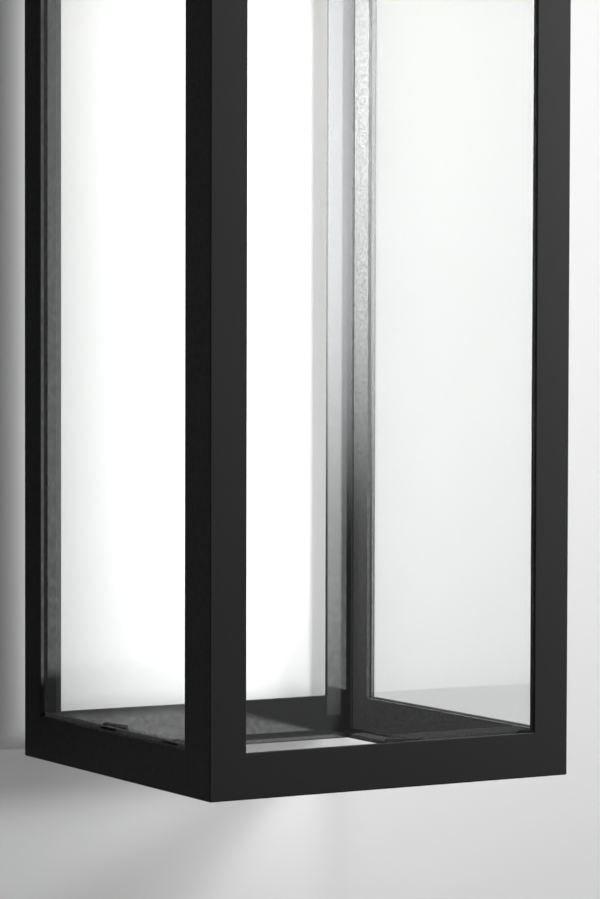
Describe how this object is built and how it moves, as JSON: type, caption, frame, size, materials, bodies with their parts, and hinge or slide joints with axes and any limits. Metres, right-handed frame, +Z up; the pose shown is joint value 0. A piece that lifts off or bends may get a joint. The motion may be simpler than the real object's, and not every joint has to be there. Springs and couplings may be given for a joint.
{
  "type": "outdoor wall lantern",
  "caption": "Tall box-frame wall lantern with clear panes on the front and sides, an open bottom and back, a flat roof and a screw-in lamp hung from it",
  "frame": {"origin": "middle of the crossbar's rear face, on the wall plane", "axes": "+X right for someone who faces the lantern, +Y into the wall, +Z up"},
  "size_m": [0.1584, 0.1629, 0.4593],
  "materials": {
    "frame_black": "fine-textured satin black powder coat",
    "pane_glass": "clear polished",
    "gasket_black": "matte black foam strip",
    "fastener_black": "satin black",
    "zinc": "zinc plated",
    "ground_green": "green plated",
    "brass": "bright",
    "copper_wire": "bare copper",
    "porcelain": "white glaze",
    "lead_black": "semi-gloss insulation",
    "lead_white": "semi-gloss insulation",
    "nut_orange": "moulded",
    "lamp_glass": "clear blown",
    "lamp_cap": "bright rolled",
    "lamp_insulator": "black glass",
    "lamp_sticks": "glowing phosphor"
  },
  "bodies": {
    "fixture": {"front_left_post": "frame_black", "front_right_post": "frame_black", "back_left_post": "frame_black", "back_right_post": "frame_black", "bottom_front_rail": "frame_black", "bottom_right_rail": "frame_black", "bottom_back_rail": "frame_black", "bottom_left_rail": "frame_black", "top_front_rail": "frame_black", "top_right_rail": "frame_black", "top_back_rail": "frame_black", "top_left_rail": "frame_black", "front_pane": "pane_glass", "front_pane_gasket": "gasket_black", "left_pane": "pane_glass", "left_pane_gasket": "gasket_black", "right_pane": "pane_glass", "right_pane_gasket": "gasket_black", "front_bottom_clip": "frame_black", "left_bottom_clip": "frame_black", "right_bottom_clip": "frame_black", "front_top_left_clip": "frame_black", "front_top_right_clip": "frame_black", "left_top_clip": "frame_black", "right_top_clip": "frame_black", "roof_plate": "frame_black", "roof_screw_1": "fastener_black", "roof_screw_2": "fastener_black", "roof_screw_3": "fastener_black", "roof_screw_4": "fastener_black", "back_panel": "frame_black", "wall_pan": "frame_black", "pan_seal": "gasket_black", "crossbar": "zinc", "pan_top_screw": "fastener_black", "pan_bottom_screw": "fastener_black", "crossbar_ground_screw": "ground_green", "pan_ground_screw": "ground_green", "wiring_tray": "frame_black", "tray_bushing": "gasket_black", "panel_grommet": "gasket_black", "black_lead": "lead_black", "white_lead": "lead_white", "ground_wire": "copper_wire", "black_wire_nut": "nut_orange", "white_wire_nut": "nut_orange", "socket_cup": "frame_black", "socket_body": "porcelain", "screw_shell": "brass", "centre_contact": "brass", "socket_front_screw": "zinc", "socket_back_screw": "zinc", "black_terminal_screw": "brass", "white_terminal_screw": "brass"},
    "lamp_tip_body": {"lamp_tip": "brass"},
    "lamp": {"lamp_glass": "lamp_glass", "lamp_cap": "lamp_cap", "lamp_insulator": "lamp_insulator", "lamp_stem": "lamp_glass", "lamp_sticks": "lamp_sticks"}
  },
  "joints": [
    {"name": "lamp_travel", "type": "slide", "parent": "fixture", "child": "lamp_tip_body", "axis": [0, 0, -1], "range_m": [0, 0.0146]},
    {"name": "lamp_turn", "type": "hinge", "parent": "lamp_tip_body", "child": "lamp", "pos_m": [0, -0.0852, 0.0221], "axis": [0, 0, -1], "range_deg": [0, 1440]}
  ],
  "couplings": [
    {"joint": "lamp_travel", "follows": "lamp_turn", "m_per_rad": 0.00057757}
  ]
}
